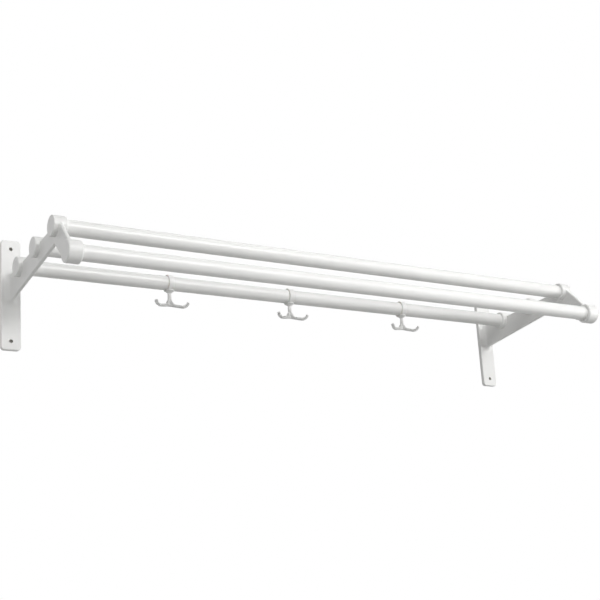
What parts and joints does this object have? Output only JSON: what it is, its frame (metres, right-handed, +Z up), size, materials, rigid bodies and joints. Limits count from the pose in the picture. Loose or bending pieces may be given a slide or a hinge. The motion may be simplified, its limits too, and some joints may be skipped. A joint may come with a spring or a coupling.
{
  "type": "wall hat rack",
  "caption": "Wall hat rack: cast end brackets carry round tubes that make a hat shelf and a front rail, with twin coat hooks that slide and swing on the back tube.",
  "frame": {"origin": "on the wall, midway between the two brackets and midway between the upper and lower screw holes", "axes": "+X along the rack, +Y into the wall, +Z up"},
  "size_m": [1.033, 0.3181, 0.188],
  "materials": {
    "cast_paint": "satin white paint on a casting",
    "tube_paint": "gloss white paint on tube",
    "hook_paint": "satin white paint on a casting",
    "bush_nylon": "plain moulded nylon"
  },
  "bodies": {
    "rack": {"left_bracket": "cast_paint", "right_bracket": "cast_paint", "back_tube": "tube_paint", "middle_tube": "tube_paint", "top_front_tube": "tube_paint", "low_front_tube": "tube_paint"},
    "left_bush": {"left_hook_bush": "bush_nylon"},
    "left_hook": {"left_hook": "hook_paint"},
    "middle_bush": {"middle_hook_bush": "bush_nylon"},
    "middle_hook": {"middle_hook": "hook_paint"},
    "right_bush": {"right_hook_bush": "bush_nylon"},
    "right_hook": {"right_hook": "hook_paint"}
  },
  "joints": [
    {"name": "left_hook_slide", "type": "slide", "parent": "rack", "child": "left_bush", "axis": [1, 0, 0], "range_m": [-0.221, 0.172]},
    {"name": "left_hook_swing", "type": "hinge", "parent": "left_bush", "child": "left_hook", "pos_m": [-0.242, -0.065, 0.029], "axis": [1, 0, 0], "continuous": true},
    {"name": "middle_hook_slide", "type": "slide", "parent": "rack", "child": "middle_bush", "axis": [1, 0, 0], "range_m": [-0.172, 0.183]},
    {"name": "middle_hook_swing", "type": "hinge", "parent": "middle_bush", "child": "middle_hook", "pos_m": [-0.004, -0.065, 0.029], "axis": [1, 0, 0], "continuous": true},
    {"name": "right_hook_slide", "type": "slide", "parent": "rack", "child": "right_bush", "axis": [1, 0, 0], "range_m": [-0.183, 0.218]},
    {"name": "right_hook_swing", "type": "hinge", "parent": "right_bush", "child": "right_hook", "pos_m": [0.245, -0.065, 0.029], "axis": [1, 0, 0], "continuous": true}
  ]
}
